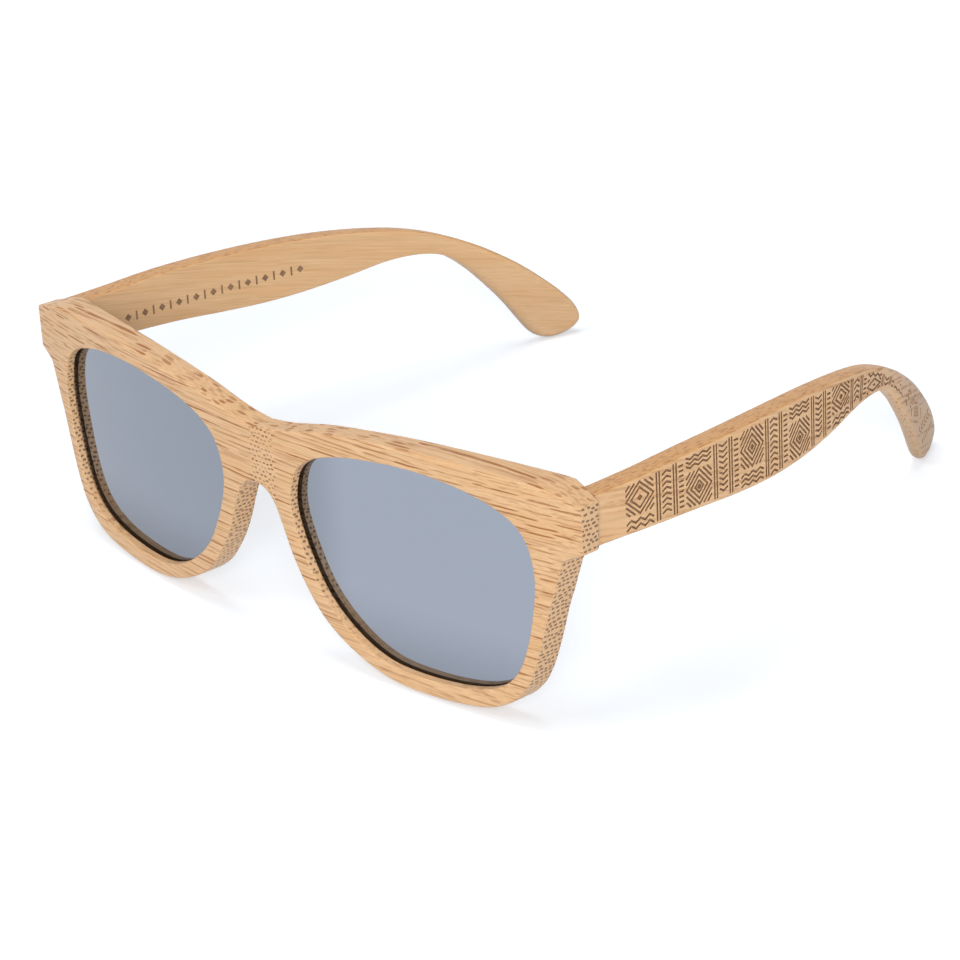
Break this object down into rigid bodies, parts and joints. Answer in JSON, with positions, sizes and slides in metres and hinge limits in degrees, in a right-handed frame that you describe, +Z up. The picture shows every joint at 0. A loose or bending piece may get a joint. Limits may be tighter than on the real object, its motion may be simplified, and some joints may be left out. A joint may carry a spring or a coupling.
{
  "type": "sunglasses",
  "caption": "Bamboo sunglasses: one-piece bowed square front with mirrored lenses, and curved folding arms with engraved outer faces on sprung hinges.",
  "frame": {"origin": "centre of the bounding box, on the table that the open glasses lie on", "axes": "+X to the wearer's left, +Y back along the arms, +Z up"},
  "size_m": [0.146, 0.1202, 0.0437],
  "materials": {
    "bamboo": "satin oiled bamboo",
    "mirror_lens": "silver mirror coat",
    "steel": "satin",
    "dark_steel": "satin"
  },
  "bodies": {
    "front": {"front_frame": "bamboo", "lens_left": "mirror_lens", "lens_right": "mirror_lens", "hinge_leaf_left": "steel", "hinge_leaf_right": "steel", "leaf_screws_left": "steel", "leaf_screws_right": "steel", "pivot_screw_left": "dark_steel", "pivot_screw_right": "dark_steel"},
    "left_slider": {"slider_left": "steel", "spring_nut_left": "steel", "coil_spring_left": "dark_steel"},
    "left_arm": {"arm_left": "bamboo", "spring_box_left": "steel"},
    "right_slider": {"slider_right": "steel", "spring_nut_right": "steel", "coil_spring_right": "dark_steel"},
    "right_arm": {"arm_right": "bamboo", "spring_box_right": "steel"}
  },
  "joints": [
    {"name": "fold_left", "type": "hinge", "parent": "front", "child": "left_slider", "pos_m": [-0.067, -0.04291, 0.03632], "axis": [0, -0.0931, -0.9957], "range_deg": [0, 80]},
    {"name": "flex_left", "type": "slide", "parent": "left_slider", "child": "left_arm", "axis": [0, 0.9957, -0.0931], "range_m": [0, 0.0012], "stiffness_N_per_m": 1500, "springref_m": -0.003, "deforming": ["coil_spring_left"]},
    {"name": "fold_right", "type": "hinge", "parent": "front", "child": "right_slider", "pos_m": [0.067, -0.04291, 0.03632], "axis": [0, 0.0931, 0.9957], "range_deg": [0, 72]},
    {"name": "flex_right", "type": "slide", "parent": "right_slider", "child": "right_arm", "axis": [0, 0.9957, -0.0931], "range_m": [0, 0.0012], "stiffness_N_per_m": 1500, "springref_m": -0.003, "deforming": ["coil_spring_right"]}
  ]
}
